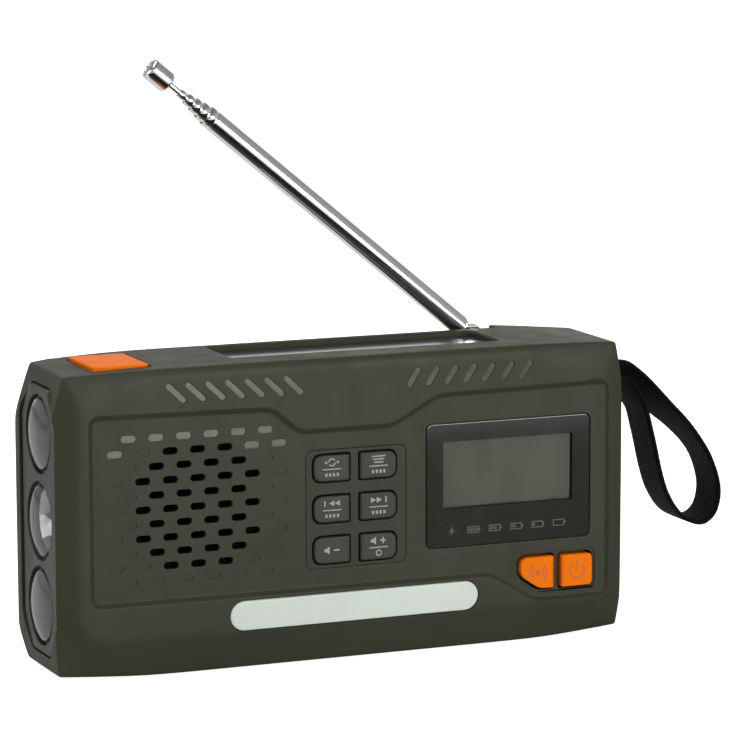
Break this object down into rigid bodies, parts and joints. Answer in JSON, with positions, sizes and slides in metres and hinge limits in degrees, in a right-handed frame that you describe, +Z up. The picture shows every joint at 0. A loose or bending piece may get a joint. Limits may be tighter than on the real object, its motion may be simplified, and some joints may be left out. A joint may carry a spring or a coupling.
{
  "type": "emergency radio",
  "caption": "Wind-up emergency radio with telescopic antenna, end torch lamps, solar top, side light bar, keypad, display and wrist strap.",
  "frame": {"origin": "on the base plane, under the middle of the body", "axes": "+X towards the strap end, -X the torch end, -Y the control face, +Y the crank face, +Z up"},
  "size_m": [0.2115, 0.0417, 0.1673],
  "materials": {
    "olive_shell": "fine moulded texture, satin matt",
    "grey_bezel": "fine moulded texture, matt",
    "clear_lens": "clear moulded acrylic",
    "reflector": "vacuum-metallised",
    "circuit_board": "solder mask over woven glass laminate",
    "orange_plastic": "satin",
    "window_glass": "polished smoked acrylic",
    "lcd_glass": "display polariser",
    "key_plastic": "satin with printed legends",
    "white_diffuser": "milky translucent",
    "steel": "zinc plated",
    "speaker_paper": "pressed paper cone",
    "solar_glass": "cells under clear resin",
    "chrome": "polished plating",
    "dark_plastic": "satin",
    "gear_plastic": "moulded acetal",
    "brass": "machined",
    "cell_wrap": "shrink sleeve",
    "webbing": "woven nylon webbing",
    "rubber": "matt elastomer"
  },
  "bodies": {
    "root": {"front_shell": "olive_shell", "rear_shell": "olive_shell", "torch_bezel": "grey_bezel", "torch_lens_top": "clear_lens", "torch_lens_middle": "clear_lens", "torch_lens_bottom": "clear_lens", "torch_reflector_top": "reflector", "torch_reflector_middle": "reflector", "torch_reflector_bottom": "reflector", "torch_led_board": "circuit_board", "main_board": "circuit_board", "lamp_led_board": "circuit_board", "display_window": "window_glass", "lcd_module": "lcd_glass", "lamp_diffuser": "white_diffuser", "speaker_frame": "steel", "generator": "steel", "spring_contacts": "steel", "button_contacts": "steel", "usb_port": "steel", "case_screw_1": "steel", "case_screw_2": "steel", "case_screw_3": "steel", "case_screw_4": "steel", "solar_panel": "solar_glass", "gearbox_plate": "dark_plastic", "battery_tray": "dark_plastic", "headphone_jack": "dark_plastic", "lithium_cell": "cell_wrap", "dry_cell_1": "cell_wrap", "dry_cell_2": "cell_wrap", "dry_cell_3": "cell_wrap"},
    "speaker_cone": {"speaker_cone": "speaker_paper"},
    "antenna_swivel": {"antenna_swivel": "chrome", "antenna_pin": "steel"},
    "antenna_section_1": {"antenna_section_1": "chrome"},
    "antenna_section_2": {"antenna_section_2": "chrome"},
    "antenna_section_3": {"antenna_section_3": "chrome"},
    "antenna_section_4": {"antenna_section_4": "chrome"},
    "antenna_section_5": {"antenna_section_5": "chrome"},
    "antenna_tip": {"antenna_tip": "chrome"},
    "crank": {"crank_arm": "olive_shell", "crank_gear": "gear_plastic", "crank_knob_pin": "steel"},
    "knob_carrier": {"crank_knob_carrier": "dark_plastic"},
    "crank_knob": {"crank_knob": "dark_plastic"},
    "idler_gear": {"idler_gear": "gear_plastic"},
    "generator_rotor": {"generator_rotor": "brass"},
    "sos_button": {"sos_button": "orange_plastic"},
    "power_button": {"power_button": "orange_plastic"},
    "torch_button": {"torch_button": "orange_plastic"},
    "battery_door": {"battery_door": "olive_shell"},
    "wrist_strap": {"wrist_strap": "webbing"},
    "port_flap": {"port_flap": "rubber"},
    "mode_key": {"mode_key": "key_plastic"},
    "menu_key": {"menu_key": "key_plastic"},
    "tune_down_key": {"tune_down_key": "key_plastic"},
    "tune_up_key": {"tune_up_key": "key_plastic"},
    "volume_down_key": {"volume_down_key": "key_plastic"},
    "volume_up_key": {"volume_up_key": "key_plastic"}
  },
  "joints": [
    {"name": "antenna_turn", "type": "hinge", "parent": "root", "child": "antenna_swivel", "pos_m": [0.0525, 0.0166, 0.0846], "axis": [0, 0, -1], "range_deg": [0, 90]},
    {"name": "antenna_tilt", "type": "hinge", "parent": "antenna_swivel", "child": "antenna_section_1", "pos_m": [0.0525, 0.0166, 0.0846], "axis": [0, 1, 0], "range_deg": [-39.5, 50.5]},
    {"name": "antenna_slide_section_2", "type": "slide", "parent": "antenna_section_1", "child": "antenna_section_2", "axis": [-0.7716, 0, 0.6361], "range_m": [0, 0.085]},
    {"name": "antenna_slide_section_3", "type": "slide", "parent": "antenna_section_2", "child": "antenna_section_3", "axis": [-0.7716, 0, 0.6361], "range_m": [0, 0.085]},
    {"name": "antenna_slide_section_4", "type": "slide", "parent": "antenna_section_3", "child": "antenna_section_4", "axis": [-0.7716, 0, 0.6361], "range_m": [0, 0.085]},
    {"name": "antenna_slide_section_5", "type": "slide", "parent": "antenna_section_4", "child": "antenna_section_5", "axis": [-0.7716, 0, 0.6361], "range_m": [0, 0.085]},
    {"name": "antenna_slide_tip", "type": "slide", "parent": "antenna_section_5", "child": "antenna_tip", "axis": [-0.7716, 0, 0.6361], "range_m": [0, 0.085]},
    {"name": "crank_turn", "type": "hinge", "parent": "root", "child": "crank", "pos_m": [-0.03, 0.012, 0.0415], "axis": [0, 1, 0], "continuous": true},
    {"name": "knob_fold", "type": "hinge", "parent": "crank", "child": "knob_carrier", "pos_m": [-0.0567, 0.0165, 0.0415], "axis": [0, 0, 1], "range_deg": [0, 90]},
    {"name": "knob_spin", "type": "hinge", "parent": "knob_carrier", "child": "crank_knob", "pos_m": [-0.05, 0.0165, 0.0415], "axis": [1, 0, 0], "continuous": true},
    {"name": "idler_turn", "type": "hinge", "parent": "root", "child": "idler_gear", "pos_m": [-0.01268, 0.004, 0.0515], "axis": [0, 1, 0], "continuous": true},
    {"name": "rotor_turn", "type": "hinge", "parent": "root", "child": "generator_rotor", "pos_m": [-0.00035, 0.004, 0.04701], "axis": [0, 1, 0], "continuous": true},
    {"name": "speaker_cone_travel", "type": "slide", "parent": "root", "child": "speaker_cone", "axis": [0, 1, 0], "range_m": [-0.0005, 0.0005], "stiffness_N_per_m": 200},
    {"name": "mode_key_press", "type": "slide", "parent": "root", "child": "mode_key", "axis": [0, 1, 0], "range_m": [0, 0.0008], "stiffness_N_per_m": 150},
    {"name": "menu_key_press", "type": "slide", "parent": "root", "child": "menu_key", "axis": [0, 1, 0], "range_m": [0, 0.0008], "stiffness_N_per_m": 150},
    {"name": "tune_down_key_press", "type": "slide", "parent": "root", "child": "tune_down_key", "axis": [0, 1, 0], "range_m": [0, 0.0008], "stiffness_N_per_m": 150},
    {"name": "tune_up_key_press", "type": "slide", "parent": "root", "child": "tune_up_key", "axis": [0, 1, 0], "range_m": [0, 0.0008], "stiffness_N_per_m": 150},
    {"name": "volume_down_key_press", "type": "slide", "parent": "root", "child": "volume_down_key", "axis": [0, 1, 0], "range_m": [0, 0.0008], "stiffness_N_per_m": 150},
    {"name": "volume_up_key_press", "type": "slide", "parent": "root", "child": "volume_up_key", "axis": [0, 1, 0], "range_m": [0, 0.0008], "stiffness_N_per_m": 150},
    {"name": "sos_button_press", "type": "slide", "parent": "root", "child": "sos_button", "axis": [0, 1, 0], "range_m": [0, 0.001], "stiffness_N_per_m": 150},
    {"name": "power_button_press", "type": "slide", "parent": "root", "child": "power_button", "axis": [0, 1, 0], "range_m": [0, 0.001], "stiffness_N_per_m": 150},
    {"name": "torch_button_press", "type": "slide", "parent": "root", "child": "torch_button", "axis": [0, 0, -1], "range_m": [0, 0.0012], "stiffness_N_per_m": 300},
    {"name": "battery_door_open", "type": "hinge", "parent": "root", "child": "battery_door", "pos_m": [0.045, 0.0194, 0.0123], "axis": [-1, 0, 0], "range_deg": [0, 90]},
    {"name": "strap_swing", "type": "hinge", "parent": "root", "child": "wrist_strap", "pos_m": [0.0822, 0.001, 0.073], "axis": [0, -1, 0], "range_deg": [-20, 35]},
    {"name": "port_flap_open", "type": "hinge", "parent": "root", "child": "port_flap", "pos_m": [0.0844, -0.0013, 0.0355], "axis": [0, 0, 1], "range_deg": [0, 100]}
  ],
  "couplings": [
    {"joint": "idler_turn", "follows": "crank_turn", "ratio": -4},
    {"joint": "rotor_turn", "follows": "crank_turn", "ratio": 16}
  ]
}
